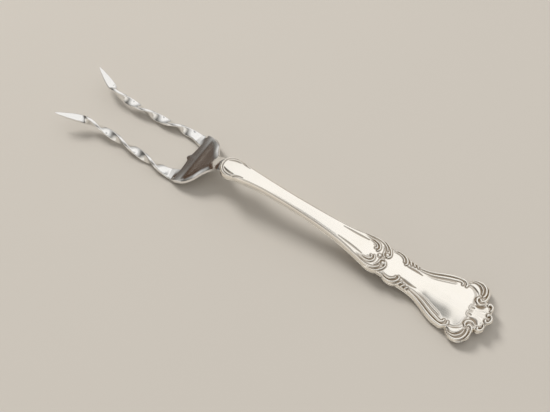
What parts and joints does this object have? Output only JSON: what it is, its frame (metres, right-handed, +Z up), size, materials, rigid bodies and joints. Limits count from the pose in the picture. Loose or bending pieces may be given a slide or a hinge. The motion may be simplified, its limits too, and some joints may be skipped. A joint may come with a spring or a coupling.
{
  "type": "potato fork",
  "caption": "Serving fork for baked potatoes: twisted, outswept pointed tines on a polished head, cemented into a hollow silver handle with scrolled, reeded borders.",
  "frame": {"origin": "middle of the fork in plan, on the table that it lies on", "axes": "+X along the fork from the butt of the handle to the tips of the tines, +Z up from the table, Y across the fork"},
  "size_m": [0.18, 0.0276, 0.0137],
  "materials": {
    "head_steel": "mirror-polished stainless steel",
    "front_silver": "polished silver with dark patina in the grooves",
    "back_silver": "polished silver with dark patina in the grooves",
    "solder": "silver solder, filed flush and polished",
    "cement": "dull brown handle cement"
  },
  "bodies": {
    "root": {"fork_head": "head_steel", "handle_front_shell": "front_silver", "handle_back_shell": "back_silver", "seam_solder": "solder", "handle_cement": "cement"}
  },
  "joints": []
}
